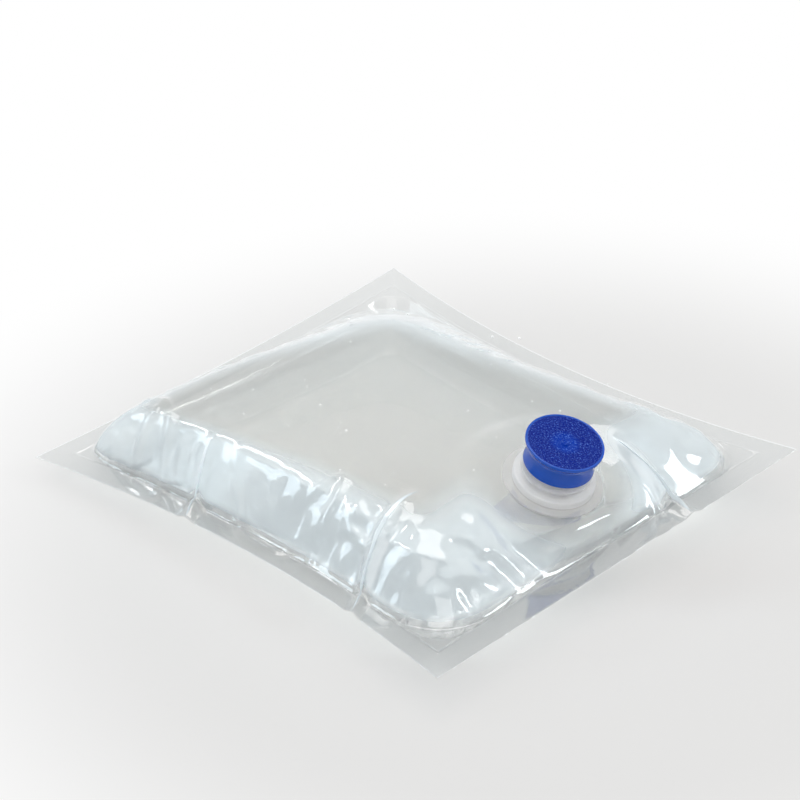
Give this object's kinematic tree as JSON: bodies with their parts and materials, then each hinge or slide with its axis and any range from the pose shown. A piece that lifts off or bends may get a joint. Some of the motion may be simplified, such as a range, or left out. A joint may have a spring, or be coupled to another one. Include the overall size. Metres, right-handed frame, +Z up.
{
  "type": "filled bag-in-box liner bag",
  "caption": "Clear film pillow bag filled with water, heat sealed on all four edges, with a flanged pouring spout and a blue push-in cap.",
  "frame": {"origin": "on the floor under the middle of the bag's outline", "axes": "+X along the bag towards its spout end, +Y across it, +Z up from the floor"},
  "size_m": [0.257, 0.233, 0.0638],
  "materials": {
    "film": "clear glossy polyethylene film",
    "water": "clear water",
    "spout": "translucent natural polyethylene, semi-gloss",
    "cap": "blue polyethylene, glossy skirt and finely textured top"
  },
  "bodies": {
    "bag": {"front_film": "film", "back_film": "film", "liquid_fill": "water", "spout": "spout"},
    "cap": {"cap": "cap"}
  },
  "joints": [
    {"name": "cap_pull", "type": "slide", "parent": "bag", "child": "cap", "axis": [0.2756, 0, 0.9613], "range_m": [0, 0.025]}
  ]
}
